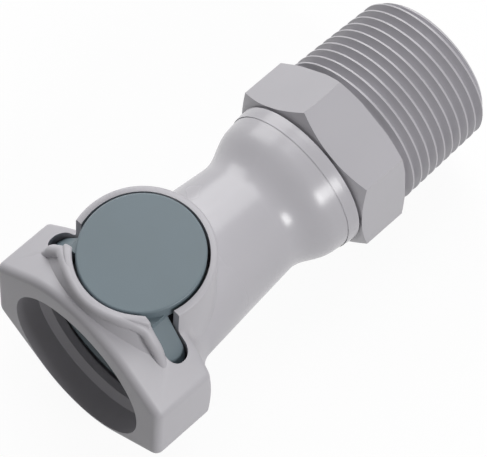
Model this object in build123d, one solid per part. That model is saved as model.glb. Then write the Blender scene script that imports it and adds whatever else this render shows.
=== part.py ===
from build123d import *
import math
import os

# Quick disconnect coupling, female half. Millimetres.
# +X runs from the mouth to the pipe thread, +Z points to the thumb button, and the
# origin is the centre of the mouth on the bore's axis.

# --- running clearances
SLIDE_GAP = 0.3          # between pieces that move past each other
SEAT_GAP = 0.1           # between pieces pushed together for good
SEAL_GAP = 0.03          # between an O-ring and the walls that squeeze it
SPRING_GAP = 0.2         # at each end of a spring

# --- collar around the mouth
COLLAR_BACK = 0.2        # behind the latch slot
COLLAR_HALF_WIDTH = 17.6
CROWN_R = 17.3           # top of the collar, about the axis
COLLAR_WALL = 0.85       # under the latch slot
FLANK_TILT = 34.5        # degrees, underside flanks from the horizontal
SHOULDER_TILT = 51.3     # degrees, upper flats from the vertical sides
CORNER_R = 2.0
FRONT_EDGE_R = 1.3
REAR_EDGE_R = 0.8

# --- bore, from the mouth inwards
MOUTH_STEP = 1.12        # of the mouth over the guide bore
MOUTH_DEPTH = 4.2
GUIDE_R = 12.0           # lets the shoulder of the insert pass
SOCKET_R = 11.0
SOCKET_END_X = 14.5
NOSE_R = 8.4             # the seal of the insert runs here
NOSE_START_X = 17.1
THROAT_R = 6.2
THROAT_START_X = 26.0
THROAT_END_X = 28.0
CHAMBER_R = 8.4

# --- outside of the neck
BLEND_REACH = 2.9        # of the concave blend past the sides of the collar
BLEND_LENGTH = 6.4
BACK_SLOPE = 0.09        # of the blend where it leaves the collar and meets the neck
NECK_ROOT_R = 11.9
FLARE_LENGTH = 11.85     # from the waist to the end of the body
WAIST_R = 10.15
FLARE_INSET = 4.05       # the insets are from the end of the body
FLARE_WALL = 2.1         # round the spigot
FLARE_END_SLOPE = 0.12
STEP_INSET = 3.25        # shallow step on the flare
STEP_DEPTH = 0.12
BODY_END_X = 47.85
SOCKET_WALL = 2.58       # of the front body round the spigot

# --- thumb button and the wall around it
BUTTON_SETBACK = 4.77    # of the centre of the button behind the latch plate
BUTTON_R = 9.7
BUTTON_RISE = 2.27       # of the button top over the crown of the collar
BUTTON_TILT = 4.76       # degrees, the rear edge is the higher one
BUTTON_THICKNESS = 2.87
BUTTON_EDGE_R = 0.3
BUTTON_GAP = 0.5
WELL_FLOOR = 1.2         # over the socket
LIP_FLOOR = 2.5          # over the guide bore
WALL_THICKNESS = 1.1
WALL_DROP = 0.7          # wall top below the button top
WALL_EDGE_R = 0.45
WALL_FOOT_R = 1.5
LIP_RISE = 0.13          # of the lip over the button top
LIP_THICKNESS = 1.1
LIP_WAIST_WALL = 2.9     # of the hollow front, about the axis of the button
LIP_WAIST_DROP = 4.7     # the drops are below the top of the lip
LIP_FOOT_WALL = 5.6
LIP_FOOT_DROP = 9.9
LIP_LEVEL_Y = 6.4        # the crest is level up to here
LIP_EAR_Y = 10.9
LIP_FOOT_Y = 13.2
LIP_EAR_DROP = 4.1
LIP_EDGE_R = 0.4
LIP_TOE = 0.97           # of the lip in front of its crest
LIP_BASE_Z = 6.0         # buried in the collar

# --- latch plate, pushed down by the button
PLATE_X = 8.5
PLATE_THICKNESS = 3.2
PLATE_RIM = 1.35         # round the opening of the plate
PLATE_SHOULDER = 0.25    # of the straight sides over the round rim
PLATE_TRAVEL = 1.8
PLATE_EDGE_R = 1.5
BLOCK_HALF_WIDTH = 8.9
ARM_TOP_DROP = 0.8       # the drops are below the underside of the button
ARM_END_DROP = 7.3
LEAD_CHAMFER = 0.8
SLOT_CLEARANCE_Y = 0.5
SLOT_END_R = 1.8

# --- latch springs
WIRE_SIDES = 6
LATCH_SPRING_SETBACK = 2.93  # behind the centre of the button
LATCH_SPRING_Y = 4.6
LATCH_SPRING_R = 1.7
LATCH_WIRE_R = 0.25
LATCH_PITCH = 0.9
PIP_R = 1.1
PIP_LENGTH = 0.8

# --- valve
POPPET_RIB = 1.6
POPPET_HEAD_R = 7.3
POPPET_HEAD_X = 30.7
POPPET_HEAD_LENGTH = 2.0
STEM_R = 2.0
STEM_END_X = 57.0
VALVE_SEAL_R = 0.85
VALVE_TRAVEL = 4.4       # the insert pushes the nose back as far as the throat
VALVE_SPRING_R = 5.3
VALVE_WIRE_R = 0.45
VALVE_PITCH = 17 / 6

# --- threaded adapter
SPIGOT_LENGTH = 6.85
SPIGOT_SOCKET_R = 10.4
ADAPTER_SEAL_INSET = 3.25  # from the end of the front body
ADAPTER_SEAL_R = 0.7
SEAL_GROOVE_SIDE = 0.2
SEAM_WIDTH = 0.4
ADAPTER_BORE_R = 7.4
ADAPTER_END_BORE_R = 8.8
GUIDE_START_X = 51.0
GUIDE_LENGTH = 5.0
GUIDE_HUB_R = 3.4
GUIDE_RIB = 1.4
STEM_GAP = 0.1
HEX_END_X = 57.9
HEX_CORNER_R = 15.21
HEX_ANGLE = 23.35        # degrees, first corner from +Y towards +Z
HEX_FACE_R = 13.2
HEX_NEAR_CHAMFER = 1.2
HEX_FAR_CHAMFER = 0.7
PIPE_END_X = 77.2
THREAD_PITCH = 25.4 / 14
THREAD_TAPER = 1 / 32    # on the radius
THREAD_CREST_R = 13.02   # at the small end
THREAD_HEIGHT = 1.4
CREST_FLAT = 0.12
THREAD_END_CHAMFER = 1.2

# --- sizes that follow from the ones above
SLOT_START_X = PLATE_X - PLATE_THICKNESS / 2 - SLIDE_GAP
SLOT_END_X = PLATE_X + PLATE_THICKNESS / 2 + SLIDE_GAP
COLLAR_DEPTH = SLOT_END_X + COLLAR_BACK
PLATE_R = GUIDE_R + PLATE_RIM
PLATE_HALF_WIDTH = PLATE_R + PLATE_SHOULDER
MOUTH_R = GUIDE_R + MOUTH_STEP
BELLY_R = PLATE_R + SLIDE_GAP + COLLAR_WALL    # underside of the collar, about the axis
BUTTON_X = PLATE_X + BUTTON_SETBACK
BUTTON_TOP_Z = CROWN_R + BUTTON_RISE
BUTTON_BASE_Z = BUTTON_TOP_Z - BUTTON_THICKNESS
WELL_FLOOR_Z = SOCKET_R + WELL_FLOOR
WELL_R = BUTTON_R + BUTTON_GAP
WALL_R = WELL_R + WALL_THICKNESS
LIP_TOP_Z = BUTTON_TOP_Z + LIP_RISE
LIP_FOOT_Z = LIP_TOP_Z - LIP_FOOT_DROP
ARM_TOP_Z = BUTTON_BASE_Z - ARM_TOP_DROP
ARM_END_Z = BUTTON_BASE_Z - ARM_END_DROP
SPIGOT_START_X = BODY_END_X - SPIGOT_LENGTH
ADAPTER_SEAL_X = BODY_END_X - ADAPTER_SEAL_INSET
SPIGOT_R = SPIGOT_SOCKET_R - SEAT_GAP
SEAL_GROOVE_R = SPIGOT_SOCKET_R - 2 * (ADAPTER_SEAL_R + SEAL_GAP)
VALVE_SEAL_X = POPPET_HEAD_X - VALVE_SEAL_R - 0.05

STANDING = (Align.CENTER, Align.CENTER, Align.MIN)
HANGING = (Align.CENTER, Align.CENTER, Align.MAX)


def turned(points):
    """Solid of revolution about the X axis from (x, radius) corners."""
    outline = Polyline(*points, close=True)
    return revolve(make_face(outline), Axis.X)


def tube_x(start, end, radius):
    """Plain cylinder along X."""
    return turned([(start, 0), (end, 0), (end, radius), (start, radius)])


def block(low, high):
    """Axis-aligned box between two corners."""
    size = [b - a for a, b in zip(low, high)]
    middle = [(a + b) / 2 for a, b in zip(low, high)]
    return Pos(*middle) * Box(*size)


def ring_x(x, radius, section_r):
    """O-ring whose axis is X."""
    section = Pos(x, radius) * Circle(section_r)
    return revolve(section, Axis.X)


def coil(radius, wire_r, pitch, length):
    """Wire spring that stands on the XY plane."""
    path = Helix(pitch=pitch, height=length - 2 * wire_r, radius=radius)
    section = Plane(origin=path @ 0, z_dir=path % 0) * RegularPolygon(wire_r, WIRE_SIDES)
    return Pos(0, 0, wire_r) * sweep(section, path=path, is_frenet=True)


def about_button(solid):
    """Move a shape made about the Z axis to the axis of the button."""
    return Pos(BUTTON_X, 0, 0) * solid


def button_plane(offset):
    """Tilted plane of the button top, shifted along its normal."""
    top = Plane(origin=(BUTTON_X, 0, BUTTON_TOP_Z), z_dir=(0, 0, 1)).rotated((0, -BUTTON_TILT, 0))
    return top.offset(offset)


def above(plane):
    """Large block on the upper side of a plane."""
    return plane * Pos(0, 0, 20) * Box(80, 80, 40)


def collar_outline():
    """Section of the collar across the axis, in the YZ plane."""
    tilt = math.radians(FLANK_TILT)
    belly_y, belly_z = BELLY_R * math.sin(tilt), -BELLY_R * math.cos(tilt)
    low_z = (COLLAR_HALF_WIDTH * math.sin(tilt) - BELLY_R) / math.cos(tilt)
    slope = math.radians(SHOULDER_TILT)
    crown_y, crown_z = CROWN_R * math.cos(slope), CROWN_R * math.sin(slope)
    high_z = (CROWN_R - COLLAR_HALF_WIDTH * math.cos(slope)) / math.sin(slope)
    right = [(crown_y, crown_z), (COLLAR_HALF_WIDTH, high_z), (COLLAR_HALF_WIDTH, low_z), (belly_y, belly_z)]
    left = [(-y, z) for y, z in right]
    crown = ThreePointArc(left[0], (0, CROWN_R), right[0])
    belly = ThreePointArc(right[-1], (0, -BELLY_R), left[-1])
    face = make_face([crown, Polyline(*right), belly, Polyline(*left)])
    corners = [v for v in face.vertices() if abs(abs(v.X) - COLLAR_HALF_WIDTH) < 0.01]
    return Plane.YZ * fillet(corners, CORNER_R)


def outer_profile():
    """Turned outline of the body: full collar, concave blend, tapering neck and flare."""
    corner = (COLLAR_DEPTH, COLLAR_HALF_WIDTH + BLEND_REACH)
    root = (COLLAR_DEPTH + BLEND_LENGTH, NECK_ROOT_R)
    slopes = [(BACK_SLOPE, -1), (1, -BACK_SLOPE)]
    blend = Spline(corner, root, tangents=slopes, tangent_scalars=[0.8, 1.0])
    taper = Line(root, (BODY_END_X - FLARE_LENGTH, WAIST_R))
    flare_end = (BODY_END_X - FLARE_INSET, SPIGOT_SOCKET_R + FLARE_WALL)
    flare = Spline(taper @ 1, flare_end, tangents=[taper % 1, (1, FLARE_END_SLOPE)])
    step_x = BODY_END_X - STEP_INSET
    step_r = flare_end[1] + FLARE_END_SLOPE * (FLARE_INSET - STEP_INSET)
    rest = Polyline(
        flare_end, (step_x, step_r), (step_x, step_r + STEP_DEPTH), (BODY_END_X, SPIGOT_SOCKET_R + SOCKET_WALL),
        (BODY_END_X, 0), (0, 0), (0, corner[1]), corner,
    )
    return make_face([blend, taper, flare, rest])


def is_level(edge):
    """True for a straight edge along the axis of the coupling."""
    return abs((edge % 0.5).X) > 0.99


def collar_and_neck():
    """Turned body cut down to the outline of the collar, with the collar's edges rounded."""
    solid = revolve(outer_profile(), Axis.X) & extrude(collar_outline(), BODY_END_X)
    root_x = COLLAR_DEPTH + BLEND_LENGTH
    rear = [e for e in solid.edges() if 1 < e.center().X < root_x - 0.1 and not is_level(e)]
    solid = fillet(rear, REAR_EDGE_R)
    front = solid.edges().group_by(Axis.X)[0]
    return fillet(front, FRONT_EDGE_R)


def is_wall_foot(edge):
    """True for an edge where the button wall meets the collar or the neck."""
    points = [edge @ t for t in (0.1, 0.5, 0.9)]
    on_wall = all(abs(math.hypot(p.X - BUTTON_X, p.Y) - WALL_R) < 0.01 for p in points)
    return on_wall and edge.center().Z < CROWN_R and abs((edge % 0.5).Z) < 0.99


def button_wall():
    """Round wall behind the thumb button, standing on the neck."""
    wall = about_button(Cylinder(WALL_R, 40, align=STANDING))
    wall -= above(button_plane(-WALL_DROP))
    wall = fillet(wall.edges().group_by(Axis.Z)[-1], WALL_EDGE_R)
    return wall & block((SLOT_END_X, -20, 0), (40, 20, 40))


def lip_roof():
    """Outline of the lip seen along the axis: level over the button, falling to the shoulders."""
    ear_z = LIP_TOP_Z - LIP_EAR_DROP
    half = [(LIP_LEVEL_Y, LIP_TOP_Z), (LIP_EAR_Y, ear_z), (LIP_FOOT_Y, LIP_FOOT_Z)]
    right = Spline(*half, tangents=[(1, 0), (0.3, -1)])
    left = Spline(*[(-y, z) for y, z in half], tangents=[(-1, 0), (-0.3, -1)])
    level = Line((-LIP_LEVEL_Y, LIP_TOP_Z), (LIP_LEVEL_Y, LIP_TOP_Z))
    base = Polyline(half[-1], (LIP_FOOT_Y, LIP_BASE_Z), (-LIP_FOOT_Y, LIP_BASE_Z), (-LIP_FOOT_Y, LIP_FOOT_Z))
    return Plane.YZ * make_face([level, right, base, left])


def lip():
    """Raised lip in front of the button, hollowed down to the collar and turned out at its ends."""
    inner = WELL_R
    top = (inner + LIP_THICKNESS, LIP_TOP_Z + 1)
    waist = (inner + LIP_WAIST_WALL, LIP_TOP_Z - LIP_WAIST_DROP)
    foot = (inner + LIP_FOOT_WALL, LIP_FOOT_Z - 1)
    hollow = Spline(top, waist, foot, tangents=[(0, -1), (0.4, -1)])
    rest = Polyline(foot, (foot[0], LIP_BASE_Z), (inner, LIP_BASE_Z), (inner, top[1]), top)
    ring = about_button(revolve(Plane.XZ * make_face([hollow, rest]), Axis.Z))
    start = BUTTON_X - top[0] - LIP_TOE
    roof = Pos(start, 0, 0) * extrude(lip_roof(), SLOT_START_X - start)
    solid = ring & roof
    crest = [e for e in solid.edges() if e.center().Z > LIP_FOOT_Z + 1 and abs((e % 0.5).Z) < 0.97]
    return fillet(crest, LIP_EDGE_R)


def latch_slot():
    """Space that the latch plate slides in, open at the top."""
    half = PLATE_HALF_WIDTH + SLOT_CLEARANCE_Y
    radius = PLATE_R + SLIDE_GAP
    waist_z = PLATE_TRAVEL + 2
    sides = Polyline((-radius, 0), (-half, waist_z), (-half, 30), (half, 30), (half, waist_z), (radius, 0))
    bottom = ThreePointArc((radius, 0), (0, -radius), (-radius, 0))
    width = SLOT_END_X - SLOT_START_X
    space = extrude(Plane.YZ * make_face([sides, bottom]), width)
    ends = space.edges().filter_by(Axis.Z)
    return Pos(SLOT_START_X, 0, 0) * fillet(ends, SLOT_END_R)


def button_well():
    """Room under and around the thumb button."""
    rear = about_button(Pos(0, 0, WELL_FLOOR_Z) * Cylinder(WELL_R, 20, align=STANDING))
    front_floor = block((-5, -20, 0), (SLOT_START_X, 20, GUIDE_R + LIP_FLOOR))
    return rear - front_floor


def body_bore():
    """Everything that is hollow along the axis of the front body."""
    lead = MOUTH_R - GUIDE_R
    cone = CHAMBER_R - THROAT_R
    return turned([
        (-1, 0), (-1, MOUTH_R), (MOUTH_DEPTH, MOUTH_R), (MOUTH_DEPTH + lead, GUIDE_R),
        (SLOT_END_X, GUIDE_R), (SLOT_END_X, SOCKET_R), (SOCKET_END_X, SOCKET_R),
        (NOSE_START_X, NOSE_R), (THROAT_START_X, NOSE_R), (THROAT_START_X, THROAT_R),
        (THROAT_END_X, THROAT_R), (THROAT_END_X + cone, CHAMBER_R), (SPIGOT_START_X, CHAMBER_R),
        (SPIGOT_START_X, SPIGOT_SOCKET_R), (BODY_END_X + 1, SPIGOT_SOCKET_R), (BODY_END_X + 1, 0),
    ])


def front_body():
    outside = collar_and_neck() + button_wall() + lip()
    foot = [e for e in outside.edges() if is_wall_foot(e)]
    outside = fillet(foot, WALL_FOOT_R)
    return outside - button_well() - latch_slot() - body_bore()


def latch_button():
    """Round thumb button with a sloping top."""
    disc = about_button(Pos(0, 0, BUTTON_BASE_Z) * Cylinder(BUTTON_R, 10, align=STANDING))
    disc -= above(button_plane(0))
    rim = disc.edges().group_by(Axis.Z)[-1]
    return fillet(rim, BUTTON_EDGE_R)


def latch_plate():
    """Flat plate with sloping arms and the opening that locks the insert."""
    sides = Polyline(
        (PLATE_R, PLATE_TRAVEL), (PLATE_HALF_WIDTH, PLATE_TRAVEL + 2), (PLATE_HALF_WIDTH, ARM_END_Z),
        (BLOCK_HALF_WIDTH, ARM_TOP_Z), (BLOCK_HALF_WIDTH, BUTTON_BASE_Z + 0.5),
        (-BLOCK_HALF_WIDTH, BUTTON_BASE_Z + 0.5), (-BLOCK_HALF_WIDTH, ARM_TOP_Z),
        (-PLATE_HALF_WIDTH, ARM_END_Z), (-PLATE_HALF_WIDTH, PLATE_TRAVEL + 2), (-PLATE_R, PLATE_TRAVEL),
    )
    bottom = ThreePointArc((-PLATE_R, PLATE_TRAVEL), (0, PLATE_TRAVEL - PLATE_R), (PLATE_R, PLATE_TRAVEL))
    plate = extrude(Plane.YZ * make_face([sides, bottom]), PLATE_THICKNESS)
    ends = [e for e in plate.edges().filter_by(Axis.Z) if abs(e.center().Y) > PLATE_HALF_WIDTH - 0.1]
    plate = Pos(PLATE_X - PLATE_THICKNESS / 2, 0, 0) * fillet(ends, PLATE_EDGE_R)
    front_x = PLATE_X - PLATE_THICKNESS / 2
    opening = turned([
        (front_x - 1, 0), (front_x - 1, GUIDE_R + LEAD_CHAMFER + 1), (front_x + LEAD_CHAMFER, GUIDE_R),
        (front_x + PLATE_THICKNESS + 1, GUIDE_R), (front_x + PLATE_THICKNESS + 1, 0),
    ])
    return plate - Pos(0, 0, PLATE_TRAVEL) * opening


def thumb_latch():
    latch = latch_button() + latch_plate()
    for side in (-1, 1):
        pip = Cylinder(PIP_R, PIP_LENGTH, align=HANGING)
        latch += Pos(BUTTON_X + LATCH_SPRING_SETBACK, side * LATCH_SPRING_Y, BUTTON_BASE_Z) * pip
    return latch


def latch_spring(side):
    length = BUTTON_BASE_Z - WELL_FLOOR_Z - 2 * SPRING_GAP
    spring = coil(LATCH_SPRING_R, LATCH_WIRE_R, LATCH_PITCH, length)
    return Pos(BUTTON_X + LATCH_SPRING_SETBACK, side * LATCH_SPRING_Y, WELL_FLOOR_Z + SPRING_GAP) * spring


def valve_seal_ring_r():
    """The seal sits one clearance off the cone behind the throat."""
    gap = VALVE_SEAL_R + SLIDE_GAP
    return THROAT_R + (VALVE_SEAL_X - THROAT_END_X) - gap * math.sqrt(2)


def valve_poppet():
    groove_r = valve_seal_ring_r() - VALVE_SEAL_R - SEAL_GAP
    flange_x = VALVE_SEAL_X - VALVE_SEAL_R - 0.05
    head_end = POPPET_HEAD_X + POPPET_HEAD_LENGTH
    core = turned([
        (THROAT_START_X, 0), (THROAT_START_X, groove_r - 1.5), (flange_x - 0.8, groove_r),
        (POPPET_HEAD_X, groove_r), (POPPET_HEAD_X, POPPET_HEAD_R),
        (head_end, POPPET_HEAD_R), (head_end, STEM_R + 1),
        (head_end + 2, STEM_R), (STEM_END_X - 0.5, STEM_R), (STEM_END_X, STEM_R - 0.5), (STEM_END_X, 0),
    ])
    ribs = tube_x(THROAT_START_X - VALVE_TRAVEL, THROAT_END_X, THROAT_R - SLIDE_GAP)
    cross = Box(80, POPPET_RIB, 40) + Box(80, 40, POPPET_RIB)
    return core + (ribs & cross)


def valve_seal():
    return ring_x(VALVE_SEAL_X, valve_seal_ring_r(), VALVE_SEAL_R)


def valve_spring():
    start = POPPET_HEAD_X + POPPET_HEAD_LENGTH + SPRING_GAP
    length = GUIDE_START_X - SPRING_GAP - start
    spring = coil(VALVE_SPRING_R, VALVE_WIRE_R, VALVE_PITCH, length)
    return Pos(start, 0, 0) * Rot(0, 90, 0) * spring


def adapter_seal():
    return ring_x(ADAPTER_SEAL_X, SPIGOT_SOCKET_R - SEAL_GAP - ADAPTER_SEAL_R, ADAPTER_SEAL_R)


def hexagon():
    """Wrench hexagon with chamfered corners."""
    start = BODY_END_X + SEAM_WIDTH
    prism = extrude(Plane.YZ * Rot(0, 0, HEX_ANGLE) * RegularPolygon(HEX_CORNER_R, 6), HEX_END_X)
    turning = turned([
        (start, 0), (start, HEX_FACE_R), (start + HEX_NEAR_CHAMFER, HEX_CORNER_R + 0.1),
        (HEX_END_X - HEX_FAR_CHAMFER, HEX_CORNER_R + 0.1), (HEX_END_X, HEX_FACE_R + 0.3), (HEX_END_X, 0),
    ])
    return prism & turning


def crest_r(x):
    """Radius of the thread crests at a place along the axis."""
    return THREAD_CREST_R + (PIPE_END_X - x) * THREAD_TAPER


def threaded_shank():
    """Tapered pipe end with one groove for each turn of the thread."""
    turns = int((PIPE_END_X - HEX_END_X) / THREAD_PITCH)
    points = [(HEX_END_X - 1, 0), (HEX_END_X - 1, crest_r(HEX_END_X) - THREAD_HEIGHT)]
    first = PIPE_END_X - THREAD_END_CHAMFER - turns * THREAD_PITCH + THREAD_PITCH / 2
    for turn in range(turns):
        x = first + turn * THREAD_PITCH
        points.append((x - THREAD_PITCH / 2, crest_r(x) - THREAD_HEIGHT))
        points.append((x - CREST_FLAT, crest_r(x)))
        points.append((x + CREST_FLAT, crest_r(x)))
    points.append((first + (turns - 0.5) * THREAD_PITCH, crest_r(PIPE_END_X) - THREAD_HEIGHT))
    points.append((PIPE_END_X, crest_r(PIPE_END_X) - THREAD_HEIGHT))
    points.append((PIPE_END_X, 0))
    return turned(points)


def spigot():
    """Round end that seats in the front body, with a groove for its seal."""
    radius = SPIGOT_R
    half = ADAPTER_SEAL_R + SEAL_GROOVE_SIDE
    end = BODY_END_X + SEAM_WIDTH + 1
    return turned([
        (SPIGOT_START_X, 0), (SPIGOT_START_X, radius), (ADAPTER_SEAL_X - half, radius),
        (ADAPTER_SEAL_X - half, SEAL_GROOVE_R), (ADAPTER_SEAL_X + half, SEAL_GROOVE_R),
        (ADAPTER_SEAL_X + half, radius), (end, radius), (end, 0),
    ])


def stem_guide():
    """Three ribs that carry the guide for the valve stem."""
    end = GUIDE_START_X + GUIDE_LENGTH
    hub = tube_x(GUIDE_START_X, end, GUIDE_HUB_R)
    for turn in range(3):
        rib = block((GUIDE_START_X, -GUIDE_RIB / 2, 0), (end, GUIDE_RIB / 2, ADAPTER_BORE_R + 0.5))
        hub += Rot(turn * 120, 0, 0) * rib
    return hub - tube_x(GUIDE_START_X - 1, end + 1, STEM_R + STEM_GAP)


def threaded_adapter():
    step = ADAPTER_END_BORE_R - ADAPTER_BORE_R
    bore = turned([
        (SPIGOT_START_X - 1, 0), (SPIGOT_START_X - 1, ADAPTER_BORE_R), (HEX_END_X, ADAPTER_BORE_R),
        (HEX_END_X + step, ADAPTER_END_BORE_R), (PIPE_END_X + 1, ADAPTER_END_BORE_R), (PIPE_END_X + 1, 0),
    ])
    return spigot() + hexagon() + threaded_shank() - bore + stem_guide()


NODES = {
    "front_body": front_body,
    "thumb_latch": thumb_latch,
    "latch_spring_left": lambda: latch_spring(1),
    "latch_spring_right": lambda: latch_spring(-1),
    "valve_poppet": valve_poppet,
    "valve_seal": valve_seal,
    "valve_spring": valve_spring,
    "adapter_seal": adapter_seal,
    "threaded_adapter": threaded_adapter,
}

os.makedirs("parts", exist_ok=True)
for name, make in NODES.items():
    shape = make()
    solids = shape.solids()
    export_step(solids[0] if len(solids) == 1 else Compound(solids), f"parts/{name}.step")
    box = shape.bounding_box()
    print(name, len(solids), "solid(s)", [round(v, 2) for v in (*box.min, *box.max)], round(shape.volume, 1))
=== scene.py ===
# %% [markdown]
# # Quick disconnect coupling
# A moulded plastic coupling body: a collar with a thumb latch, a waisted neck and a separate
# adapter with a wrench hexagon and a taper pipe thread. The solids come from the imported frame,
# in metres. This lesson gives them their finishes, adds what the solids leave out, and lights them.

# %% Load the frame
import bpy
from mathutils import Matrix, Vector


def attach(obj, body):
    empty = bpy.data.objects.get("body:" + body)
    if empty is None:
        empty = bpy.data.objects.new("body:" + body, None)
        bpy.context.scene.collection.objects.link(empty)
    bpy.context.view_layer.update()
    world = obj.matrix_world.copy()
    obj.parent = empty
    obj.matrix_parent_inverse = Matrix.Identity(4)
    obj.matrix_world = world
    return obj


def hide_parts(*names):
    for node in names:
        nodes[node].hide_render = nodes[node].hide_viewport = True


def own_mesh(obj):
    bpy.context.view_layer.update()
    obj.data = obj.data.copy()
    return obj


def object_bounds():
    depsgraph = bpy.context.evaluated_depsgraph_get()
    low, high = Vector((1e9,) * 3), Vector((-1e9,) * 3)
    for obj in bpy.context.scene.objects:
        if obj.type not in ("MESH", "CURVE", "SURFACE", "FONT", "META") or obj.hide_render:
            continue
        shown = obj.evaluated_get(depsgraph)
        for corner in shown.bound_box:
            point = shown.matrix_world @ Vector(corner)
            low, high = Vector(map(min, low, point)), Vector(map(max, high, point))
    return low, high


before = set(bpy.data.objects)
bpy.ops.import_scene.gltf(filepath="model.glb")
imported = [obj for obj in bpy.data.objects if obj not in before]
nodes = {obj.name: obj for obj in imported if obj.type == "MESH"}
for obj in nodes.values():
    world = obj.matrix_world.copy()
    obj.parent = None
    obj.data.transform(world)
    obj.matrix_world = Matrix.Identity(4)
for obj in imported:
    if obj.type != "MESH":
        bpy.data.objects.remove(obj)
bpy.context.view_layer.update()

import math
import bmesh
import bpy
from mathutils import Matrix, Vector

MM = 0.001
print("nodes:", ", ".join(sorted(nodes)))

# %% [markdown]
# ## Helpers for materials
# Every finish here is built from shader nodes. Colours are written as sRGB hex values, as a paint
# chart gives them, and one function turns them to the linear values that the shader wants. One more
# adds a node with its settings and its links, and two short ones on top of it do sums and map ranges,
# so that a material or a geometry tree reads as a short list.

# %% Colour and node helpers
def linear(hex_code):
    """sRGB hex to linear RGBA."""
    parts = [int(hex_code[i:i + 2], 16) / 255 for i in (0, 2, 4)]
    return [p / 12.92 if p <= 0.04045 else ((p + 0.055) / 1.055) ** 2.4 for p in parts] + [1.0]


def add_node(tree, kind, links=None, **settings):
    """Adds a node. Settings that name an input fill it, others are attributes; links maps input to output."""
    node = tree.nodes.new(kind)
    for key, setting in settings.items():
        if key in node.inputs:
            node.inputs[key].default_value = setting
        else:
            setattr(node, key, setting)
    for key, source in (links or {}).items():
        tree.links.new(source, node.inputs[key])
    return node


def value(tree, operation, *terms, clamp=False):
    """Math node over numbers or outputs."""
    node = add_node(tree, "ShaderNodeMath", operation=operation, use_clamp=clamp)
    for slot, term in zip(node.inputs, terms):
        if isinstance(term, (int, float)):
            slot.default_value = term
        else:
            tree.links.new(term, slot)
    return node.outputs[0]


def spread(tree, source, low, high, start=0.0, end=1.0):
    """Maps what runs from start to end onto low to high."""
    ends = {"From Min": start, "From Max": end, "To Min": low, "To Max": high}
    return add_node(tree, "ShaderNodeMapRange", {"Value": source}, **ends).outputs["Result"]


def new_material(name):
    """Empty node material with an output and a Principled shader."""
    material = bpy.data.materials.new(name)
    material.use_nodes = True
    tree = material.node_tree
    tree.nodes.clear()
    output = tree.nodes.new("ShaderNodeOutputMaterial")
    shader = tree.nodes.new("ShaderNodeBsdfPrincipled")
    tree.links.new(shader.outputs["BSDF"], output.inputs["Surface"])
    place = tree.nodes.new("ShaderNodeTexCoord").outputs["Object"]
    return material, tree, shader, place


print("mid grey b4b3b7 is", [round(c, 3) for c in linear("b4b3b7")])

# %% [markdown]
# ## Moulded plastic
# Polypropylene from a polished mould is evenly coloured, with a soft gloss. Close up, the colour
# clouds a little where the melt flowed, the gloss varies in the same patches, and the skin ripples by
# a hundredth of a millimetre. Noise at those sizes drives each of the three. The collar's part of the
# mould was left matter than the polished neck, so roughness can also fall along the part.

# %% Moulded plastic
def moulded(name, light, dark, roughness, grained=None, flow_mm=9.0, skin_mm=1.2, ripple_mm=0.01):
    """Moulded plastic between two close shades.

    Grained is an extra roughness, the x in millimetres where it starts to fade and the x where it ends.
    """
    material, tree, shader, place = new_material(name)
    flow = add_node(tree, "ShaderNodeTexNoise", {"Vector": place}, Scale=1 / (flow_mm * MM), Detail=2.0)
    shade = add_node(tree, "ShaderNodeMix", {"Factor": flow.outputs["Fac"]}, data_type="RGBA")
    shade.inputs[6].default_value = linear(dark)
    shade.inputs[7].default_value = linear(light)
    skin = add_node(tree, "ShaderNodeTexNoise", {"Vector": place}, Scale=1 / (skin_mm * MM), Detail=3.0)
    gloss = spread(tree, flow.outputs["Fac"], roughness - 0.04, roughness + 0.05)
    height = {"Height": skin.outputs["Fac"]}
    bump = add_node(tree, "ShaderNodeBump", height, Strength=0.25, Distance=ripple_mm * MM)
    tree.links.new(shade.outputs[2], shader.inputs["Base Color"])
    if grained:
        extra, fade_start_mm, fade_end_mm = grained
        along = add_node(tree, "ShaderNodeSeparateXYZ", {"Vector": place}).outputs["X"]
        grain = spread(tree, along, extra, 0.0, fade_start_mm * MM, fade_end_mm * MM)
        gloss = value(tree, "ADD", gloss, grain)
    tree.links.new(gloss, shader.inputs["Roughness"])
    tree.links.new(bump.outputs["Normal"], shader.inputs["Normal"])
    shader.inputs["IOR"].default_value = 1.49
    return material


body_plastic = moulded("moulded polypropylene body", "bab8bd", "b5b3b8", 0.25, grained=(0.22, 17, 26))
adapter_plastic = moulded("moulded polypropylene adapter", "b8b6bb", "b3b1b6", 0.32)
latch_plastic = moulded("moulded acetal latch", "6c7a82", "667379", 0.42)
poppet_plastic = moulded("moulded acetal poppet", "87888c", "808186", 0.5)
print("plastics:", body_plastic.name, latch_plastic.name)

# %% [markdown]
# ## Rubber and spring wire
# The O-rings are moulded nitrile rubber: nearly black, matt, with a slight bloom. The springs are
# drawn stainless wire, a metal whose drawing lines run too fine to see, so only its roughness varies.

# %% Rubber and wire
def rubber():
    """Moulded rubber with a faint bloom."""
    material, tree, shader, place = new_material("moulded nitrile rubber")
    bloom = add_node(tree, "ShaderNodeTexNoise", {"Vector": place}, Scale=1 / (0.8 * MM), Detail=4.0)
    ramp = add_node(tree, "ShaderNodeValToRGB", {"Fac": bloom.outputs["Fac"]})
    ramp.color_ramp.elements[0].color = linear("141416")
    ramp.color_ramp.elements[1].color = linear("222225")
    tree.links.new(ramp.outputs["Color"], shader.inputs["Base Color"])
    shader.inputs["Roughness"].default_value = 0.62
    shader.inputs["IOR"].default_value = 1.52
    return material


def wire():
    """Drawn wire with fine lines."""
    material, tree, shader, place = new_material("drawn stainless wire")
    lines = add_node(tree, "ShaderNodeTexNoise", {"Vector": place}, Scale=1 / (0.15 * MM), Detail=2.0)
    tree.links.new(spread(tree, lines.outputs["Fac"], 0.22, 0.38), shader.inputs["Roughness"])
    shader.inputs["Base Color"].default_value = linear("cfcdc8")
    shader.inputs["Metallic"].default_value = 1.0
    return material


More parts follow.
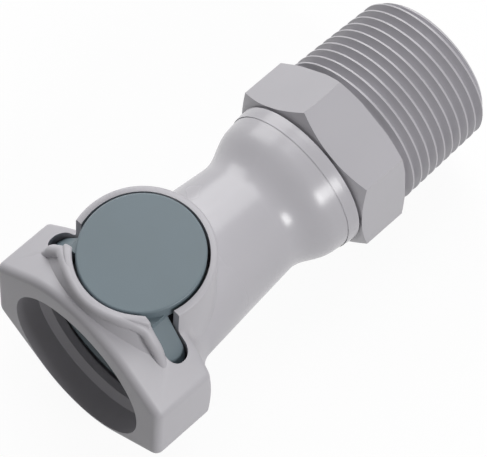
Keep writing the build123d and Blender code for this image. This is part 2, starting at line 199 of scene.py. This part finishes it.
rubber_finish = rubber()
wire_finish = wire()
FINISHES = {
    "front_body": body_plastic,
    "threaded_adapter": adapter_plastic,
    "thumb_latch": latch_plastic,
    "valve_poppet": poppet_plastic,
    "valve_seal": rubber_finish,
    "adapter_seal": rubber_finish,
    "latch_spring_left": wire_finish,
    "latch_spring_right": wire_finish,
    "valve_spring": wire_finish,
}
for name, material in FINISHES.items():
    nodes[name].data.materials.clear()
    nodes[name].data.materials.append(material)
print("finished:", len(FINISHES), "nodes")

# %% [markdown]
# ## Helpers for Geometry Nodes
# The thread and the springs follow a rule, so each is a small node tree with named inputs.

# %% Tree helpers
SAME_SPOT = 1e-6            # metres, closer than this two vertices are one
SHARP = math.radians(32)    # an edge that turns more stays a crisp edge


def new_tree(name, inputs):
    """Empty geometry tree whose named inputs are all numbers, plus a material."""
    tree = bpy.data.node_groups.new(name, "GeometryNodeTree")
    for label in inputs:
        tree.interface.new_socket(label, in_out="INPUT", socket_type="NodeSocketFloat")
    tree.interface.new_socket("Material", in_out="INPUT", socket_type="NodeSocketMaterial")
    tree.interface.new_socket("Geometry", in_out="OUTPUT", socket_type="NodeSocketGeometry")
    return tree, tree.nodes.new("NodeGroupInput").outputs


def close_tree(tree, given, geometry):
    """Ends a tree: instances made real, material set."""
    real = add_node(tree, "GeometryNodeRealizeInstances", {"Geometry": geometry})
    links = {"Geometry": real.outputs[0], "Material": given["Material"]}
    painted = add_node(tree, "GeometryNodeSetMaterial", links)
    output = tree.nodes.new("NodeGroupOutput")
    tree.links.new(painted.outputs[0], output.inputs["Geometry"])


def grow(tree, settings):
    """Runs a tree once and returns its result as a plain mesh."""
    seed = bpy.data.objects.new("seed", bpy.data.meshes.new("seed"))
    bpy.context.collection.objects.link(seed)
    modifier = seed.modifiers.new("tree", "NODES")
    modifier.node_group = tree
    for item in tree.interface.items_tree:
        if item.in_out == "INPUT":
            modifier[item.identifier] = settings[item.name]
    seed_now = seed.evaluated_get(bpy.context.evaluated_depsgraph_get())
    mesh = bpy.data.meshes.new_from_object(seed_now)
    bpy.data.objects.remove(seed)
    return mesh


def keep(bm, name, material, body, replaced):
    """Turns a bmesh into a finished piece that stands for CAD nodes."""
    bmesh.ops.remove_doubles(bm, verts=bm.verts, dist=SAME_SPOT)
    bmesh.ops.recalc_face_normals(bm, faces=bm.faces)
    for face in bm.faces:
        face.smooth = True
    for edge in bm.edges:
        edge.smooth = len(edge.link_faces) == 2 and edge.calc_face_angle() < SHARP
    mesh = bpy.data.meshes.new(name)
    bm.to_mesh(mesh)
    bm.free()
    mesh.materials.clear()
    mesh.materials.append(material)
    piece = bpy.data.objects.new(name, mesh)
    bpy.context.collection.objects.link(piece)
    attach(piece, body)
    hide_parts(replaced)
    print(name, len(mesh.polygons), "faces")
    return piece


# %% [markdown]
# ## Pipe thread
# The adapter is moulded with a right-hand taper thread, 14 turns to the inch, cut off by a chamfer
# at the end. The solids carry it as rings. Here a grid is wound round the axis: its rows follow the
# helix, so each crest and each root stays on one line of vertices however many turns there are.
# Across one pitch the row's place gives the height of the ridge, and the taper, the chamfer and the
# run-out at the hexagon limit it. The rest of the adapter is the CAD mesh, up to its far face.

# %% Thread tree
ROWS_PER_TURN = 12
COLUMNS = 181               # the last one lands on the first
ROOT_END, FLANK = 0.95, 0.78    # where the root ends and how long a flank is, in half pitches
THREAD = {
    "Start": 57.7 * MM, "End": 77.2 * MM, "Pitch": 25.4 / 14 * MM, "End Radius": 13.02 * MM,
    "Taper": 1 / 32, "Height": 1.4 * MM, "Run-out": 1.0 * MM, "Turns": 12.0,
}


def thread_tree():
    """A grid wound round the axis, each row on its own line of the helix."""
    tree, given = new_tree("taper thread", THREAD)
    rows = value(tree, "MULTIPLY", given["Turns"], ROWS_PER_TURN)
    count = value(tree, "ADD", rows, 1.0)
    grid = add_node(tree, "GeometryNodeMeshGrid", {"Vertices X": count}, **{"Vertices Y": COLUMNS})
    here = tree.nodes.new("GeometryNodeInputPosition").outputs[0]
    place = add_node(tree, "ShaderNodeSeparateXYZ", {"Vector": here})
    turn = value(tree, "ADD", place.outputs["Y"], 0.5)
    row = value(tree, "ROUND", value(tree, "MULTIPLY", value(tree, "ADD", place.outputs["X"], 0.5), rows))
    wound = value(tree, "SUBTRACT", value(tree, "DIVIDE", row, ROWS_PER_TURN), 1.0)
    free_x = value(tree, "MULTIPLY_ADD", value(tree, "ADD", wound, turn), given["Pitch"], given["Start"])
    x = value(tree, "MINIMUM", value(tree, "MAXIMUM", free_x, given["Start"]), given["End"])
    to_end = value(tree, "SUBTRACT", given["End"], x)
    crest = value(tree, "MULTIPLY_ADD", to_end, given["Taper"], given["End Radius"])
    phase = value(tree, "DIVIDE", value(tree, "FLOORED_MODULO", row, ROWS_PER_TURN), ROWS_PER_TURN)
    from_crest = value(tree, "ABSOLUTE", value(tree, "MULTIPLY_ADD", phase, 2.0, -1.0))
    ridge = value(tree, "DIVIDE", value(tree, "SUBTRACT", ROOT_END, from_crest), FLANK, clamp=True)
    run_out = value(tree, "DIVIDE", value(tree, "SUBTRACT", x, given["Start"]), given["Run-out"], clamp=True)
    missing = value(tree, "SUBTRACT", 1.0, value(tree, "MULTIPLY", ridge, run_out))
    cut = value(tree, "SUBTRACT", crest, value(tree, "MULTIPLY", missing, given["Height"]))
    chamfer = value(tree, "ADD", to_end, value(tree, "SUBTRACT", given["End Radius"], given["Height"]))
    radius = value(tree, "MINIMUM", cut, chamfer)
    angle = value(tree, "MULTIPLY", turn, 2 * math.pi)
    y = value(tree, "MULTIPLY", radius, value(tree, "COSINE", angle))
    z = value(tree, "MULTIPLY", radius, value(tree, "SINE", angle))
    spot = add_node(tree, "ShaderNodeCombineXYZ", {"X": x, "Y": y, "Z": z})
    links = {"Geometry": grid.outputs["Mesh"], "Position": spot.outputs[0]}
    wrap = add_node(tree, "GeometryNodeSetPosition", links)
    links = {"Geometry": wrap.outputs[0]}
    sewn = add_node(tree, "GeometryNodeMergeByDistance", links, Distance=2 * SAME_SPOT)
    close_tree(tree, given, sewn.outputs[0])
    return tree


# %% Adapter with its thread
HEX_END = 57.9 * MM
BORE = [(77.2, 8.8), (59.3, 8.8), (57.7, 7.42)]     # x and radius in millimetres, from the open end


def ring_at(bm, edges, x, radius):
    """Extrudes a loop round the axis and sets its place and radius in millimetres."""
    new = bmesh.ops.extrude_edge_only(bm, edges=edges)["geom"]
    for vert in (g for g in new if isinstance(g, bmesh.types.BMVert)):
        scale = radius * MM / math.hypot(vert.co.y, vert.co.z)
        vert.co = (x * MM, vert.co.y * scale, vert.co.z * scale)
    return [g for g in new if isinstance(g, bmesh.types.BMEdge)]


def rim(bm, x):
    """Open edges that lie across the axis at a place."""
    return [e for e in bm.edges if e.is_boundary and all(abs(v.co.x - x) < SAME_SPOT for v in e.verts)]


shank = bmesh.new()
shank.from_mesh(grow(thread_tree(), {**THREAD, "Material": adapter_plastic}))
bmesh.ops.dissolve_degenerate(shank, dist=SAME_SPOT, edges=shank.edges)
first_loop, loop = rim(shank, THREAD["Start"]), rim(shank, THREAD["End"])
print("edges round the thread's ends:", len(first_loop), len(loop))
for x, radius in BORE:
    loop = ring_at(shank, loop, x, radius)
ring_at(shank, first_loop, *BORE[-1])

hexagon = bmesh.new()
hexagon.from_mesh(nodes["threaded_adapter"].data)
bmesh.ops.remove_doubles(hexagon, verts=hexagon.verts, dist=SAME_SPOT)
beyond = [f for f in hexagon.faces if f.calc_center_median().x > HEX_END + 10 * SAME_SPOT]
bmesh.ops.delete(hexagon, geom=beyond, context="FACES")
bmesh.ops.triangle_fill(hexagon, edges=[e for e in hexagon.edges if e.is_boundary], use_beauty=True)
part = bpy.data.meshes.new("part")
shank.to_mesh(part)
shank.free()
hexagon.from_mesh(part)
adapter = keep(hexagon, "adapter_with_thread", adapter_plastic, "coupling_body", "threaded_adapter")

# %% [markdown]
# ## Front body with its lip rim
# The lip in front of the button ends in a rolled rim, thin over the button and thicker where it
# runs down beside the slots as two ears. The solids give the lip's outline but not the roll, so it is
# swept here: a round section with its own radius at each point, along the crest, mirrored about the
# middle. The rest is a copy of the CAD mesh, whose fine step on the flare moves closer to the hexagon
# and up the flare's slope.

# %% Lip rim
RIM = [
    # x, y, z, radius of the section, in millimetres, from the middle to one ear
    (2.2, 0.0, 18.85, 0.85), (2.9, 3.85, 18.85, 0.87), (3.85, 6.0, 18.75, 0.95), (4.85, 7.4, 18.3, 1.0),
    (5.55, 8.6, 17.4, 1.03), (5.6, 9.9, 16.1, 1.0), (5.65, 11.0, 14.7, 0.95), (5.72, 11.9, 12.6, 0.86),
    (5.6, 12.8, 10.9, 0.7),
]


def rim_mesh(points):
    """Tube with a changing radius through points and their mirror images."""
    path = bpy.data.curves.new("rim", "CURVE")
    path.dimensions = "3D"
    path.bevel_depth = MM
    path.bevel_resolution = 6
    path.use_fill_caps = True
    line = path.splines.new("BEZIER")
    whole = [(x, -y, z, r) for x, y, z, r in reversed(points[1:])] + points
    line.bezier_points.add(len(whole) - 1)
    for knot, (x, y, z, r) in zip(line.bezier_points, whole):
        knot.co = Vector((x, y, z)) * MM
        knot.radius = r
        knot.handle_left_type = knot.handle_right_type = "AUTO"
    holder = bpy.data.objects.new("rim", path)
    bpy.context.collection.objects.link(holder)
    bpy.context.view_layer.update()
    mesh = bpy.data.meshes.new_from_object(holder.evaluated_get(bpy.context.evaluated_depsgraph_get()))
    bpy.data.objects.remove(holder)
    return mesh


# %% Front body
STEP_X, STEP_SHIFT, STEP_RISE = 44.6, 2.4, 0.254    # millimetres
STEP_LEAST_R = 12                                   # the step is on the outside, and the bore is narrower
front = bmesh.new()
front.from_mesh(nodes["front_body"].data)
bmesh.ops.remove_doubles(front, verts=front.verts, dist=SAME_SPOT)
step = [v for v in front.verts if abs(v.co.x - STEP_X * MM) < 10 * SAME_SPOT]
step = [v for v in step if math.hypot(v.co.y, v.co.z) > STEP_LEAST_R * MM]
for vert in step:
    scale = 1 + STEP_RISE * MM / math.hypot(vert.co.y, vert.co.z)
    vert.co = (vert.co.x + STEP_SHIFT * MM, vert.co.y * scale, vert.co.z * scale)
front.from_mesh(rim_mesh(RIM))
print("step vertices moved:", len(step))
front_piece = keep(front, "front_body_with_rim", body_plastic, "coupling_body", "front_body")

# %% [markdown]
# ## Springs
# Compression springs are wound from round wire, with one closed turn at each end so that they stand
# flat. A spiral curve gives the winding, three ramps give the height along it, slow at the ends and
# even between them, and a circle swept along the curve gives the wire.

# %% Spring tree
def spring_tree():
    tree, given = new_tree("wire spring", ["Radius", "Wire Radius", "Turns", "Length"])
    spiral = add_node(
        tree, "GeometryNodeCurveSpiral",
        {"Rotations": given["Turns"], "Start Radius": given["Radius"], "End Radius": given["Radius"]},
        Resolution=28, Height=0.0,
    )
    along = tree.nodes.new("GeometryNodeSplineParameter").outputs["Factor"]
    end_share = value(tree, "DIVIDE", 1.0, given["Turns"])
    wire_d = value(tree, "MULTIPLY", given["Wire Radius"], 2.0)
    rise = value(tree, "SUBTRACT", given["Length"], value(tree, "MULTIPLY", wire_d, 3.0))
    middle = value(tree, "SUBTRACT", 1.0, value(tree, "MULTIPLY", end_share, 2.0))
    low = value(tree, "DIVIDE", along, end_share, clamp=True)
    even = value(tree, "DIVIDE", value(tree, "SUBTRACT", along, end_share), middle, clamp=True)
    before_top = value(tree, "SUBTRACT", 1.0, end_share)
    top = value(tree, "DIVIDE", value(tree, "SUBTRACT", along, before_top), end_share, clamp=True)
    ends = value(tree, "MULTIPLY", value(tree, "ADD", low, top), wire_d)
    height = value(tree, "ADD", value(tree, "MULTIPLY_ADD", even, rise, ends), given["Wire Radius"])
    lift = add_node(tree, "ShaderNodeCombineXYZ", {"Z": height})
    links = {"Geometry": spiral.outputs[0], "Offset": lift.outputs[0]}
    path = add_node(tree, "GeometryNodeSetPosition", links)
    upright = add_node(tree, "GeometryNodeSetCurveNormal", {"Curve": path.outputs[0]}, mode="Z_UP")
    links = {"Radius": given["Wire Radius"]}
    section = add_node(tree, "GeometryNodeCurvePrimitiveCircle", links, Resolution=12)
    links = {"Curve": upright.outputs[0], "Profile Curve": section.outputs[0]}
    wire_mesh = add_node(tree, "GeometryNodeCurveToMesh", links, **{"Fill Caps": True})
    close_tree(tree, given, wire_mesh.outputs[0])
    return tree


# %% Place the springs
def spring(name, tree, radius, wire_r, turns, length, place, turn):
    """Winds one spring, sets it in place and gives it a mesh of its own. Sizes in millimetres."""
    sizes = {"Radius": radius * MM, "Wire Radius": wire_r * MM, "Turns": turns, "Length": length * MM}
    bm = bmesh.new()
    bm.from_mesh(grow(tree, {**sizes, "Material": wire_finish}))
    bmesh.ops.transform(bm, matrix=Matrix.Translation(Vector(place) * MM) @ turn, verts=bm.verts)
    piece = keep(bm, name + "_wire", wire_finish, "coupling_body", name)
    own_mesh(piece)


winding = spring_tree()
for name, y in (("latch_spring_left", 4.6), ("latch_spring_right", -4.6)):
    seat = (16.2, y, 12.4)
    spring(name, winding, 1.7, 0.25, 4.0, 4.1, seat, Matrix.Identity(4))
lying = Matrix.Rotation(math.radians(90), 4, "Y")
seat = (32.9, 0, 0)
spring("valve_spring", winding, 5.3, 0.45, 6.0, 17.9, seat, lying)

# %% [markdown]
# ## Camera
# The coupling is seen from in front of the mouth, from well above and a little to one side, with a
# long lens from nearly half a metre, so its parallel edges hardly converge.

# %% Camera
CAMERA_PLACE = Vector((-132.83, -143.91, 416.25)) * MM
CAMERA_RIGHT = Vector((0.70921, -0.70365, 0.04361))
CAMERA_UP = Vector((0.60860, 0.64228, 0.46591))
lens = bpy.data.cameras.new("camera")
lens.sensor_width = 36
lens.lens = 225.35
lens.clip_start = 0.01
camera = bpy.data.objects.new("camera", lens)
back = CAMERA_RIGHT.cross(CAMERA_UP)
turn = Matrix((CAMERA_RIGHT, CAMERA_UP, back)).transposed().to_4x4()
camera.matrix_world = Matrix.Translation(CAMERA_PLACE) @ turn
bpy.context.collection.objects.link(camera)
bpy.context.scene.camera = camera
print("camera", round(CAMERA_PLACE.length / MM), "mm away")

# %% [markdown]
# ## Floor and light
# A grey card lies under the part. To the camera and in reflections it is lifted close to white and
# keeps a faint shadow, while the light that it sends up to the part stays that of the grey card.
# A small key lamp stands low on the near side and makes the two soft spots on the neck. Two wide
# lamps stand above and on the far side, towards the thread, so what faces the mouth stays dark.

# %% Floor
FLOOR_HALF, FLOOR_GAP = 1.5, 0.0002     # metres
FLOOR_LIFT = 0.85                       # share of white that the camera sees in the card
low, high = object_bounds()
floor_mesh = bpy.data.meshes.new("floor")
grid = bmesh.new()
bmesh.ops.create_grid(grid, x_segments=1, y_segments=1, size=FLOOR_HALF)
bmesh.ops.translate(grid, verts=grid.verts, vec=(0, 0, low.z - FLOOR_GAP))
grid.to_mesh(floor_mesh)
grid.free()
floor = bpy.data.objects.new("floor", floor_mesh)
bpy.context.collection.objects.link(floor)


def seen_as_white(tree, path):
    """1 for rays that should meet a plain white background."""
    seen = value(tree, "MAXIMUM", path.outputs["Is Camera Ray"], path.outputs["Is Glossy Ray"])
    return value(tree, "MAXIMUM", seen, path.outputs["Is Transmission Ray"])


floor_material, tree, shader, place = new_material("grey card")
shader.inputs["Base Color"].default_value = linear("aaaaaa")
shader.inputs["Roughness"].default_value = 0.9
path = tree.nodes.new("ShaderNodeLightPath")
glow = add_node(tree, "ShaderNodeEmission", Strength=1.1)
mix = add_node(tree, "ShaderNodeMixShader")
lifted = value(tree, "MULTIPLY", seen_as_white(tree, path), FLOOR_LIFT)
tree.links.new(lifted, mix.inputs[0])
tree.links.new(shader.outputs["BSDF"], mix.inputs[1])
tree.links.new(glow.outputs["Emission"], mix.inputs[2])
tree.links.new(mix.outputs[0], tree.nodes["Material Output"].inputs["Surface"])
floor_mesh.materials.append(floor_material)

# %% World and lamps
world = bpy.data.worlds.new("studio")
bpy.context.scene.world = world
world.use_nodes = True
tree = world.node_tree
tree.nodes.clear()
path = tree.nodes.new("ShaderNodeLightPath")
fill = add_node(tree, "ShaderNodeBackground", Color=linear("ffffff"), Strength=0.16)
white = add_node(tree, "ShaderNodeBackground", Color=linear("ffffff"), Strength=1.0)
mix = add_node(tree, "ShaderNodeMixShader")
tree.links.new(seen_as_white(tree, path), mix.inputs[0])
tree.links.new(fill.outputs[0], mix.inputs[1])
tree.links.new(white.outputs[0], mix.inputs[2])
world_output = tree.nodes.new("ShaderNodeOutputWorld")
tree.links.new(mix.outputs[0], world_output.inputs["Surface"])


def lamp(name, towards, distance, width, level):
    """Square soft lamp aimed at the part. At level 1 it alone shows a facing surface in its own colour."""
    data = bpy.data.lights.new(name, "AREA")
    data.shape = "SQUARE"
    data.size = width
    data.energy = level * math.pi ** 2 * distance ** 2
    lamp_object = bpy.data.objects.new(name, data)
    direction = Vector(towards).normalized()
    lamp_object.location = (low + high) / 2 + direction * distance
    lamp_object.rotation_euler = (-direction).to_track_quat("-Z", "Y").to_euler()
    bpy.context.collection.objects.link(lamp_object)
    print(name, round(data.energy, 2), "W")


lamp("key lamp", (0.04, -0.875, 0.46), 0.6, 0.2, 0.56)
lamp("far lamp", (0.3, 0.8, 0.5), 0.7, 0.5, 0.6)
lamp("top lamp", (0.45, 0.25, 0.85), 0.7, 0.4, 0.36)
bpy.context.scene.view_settings.view_transform = "Standard"
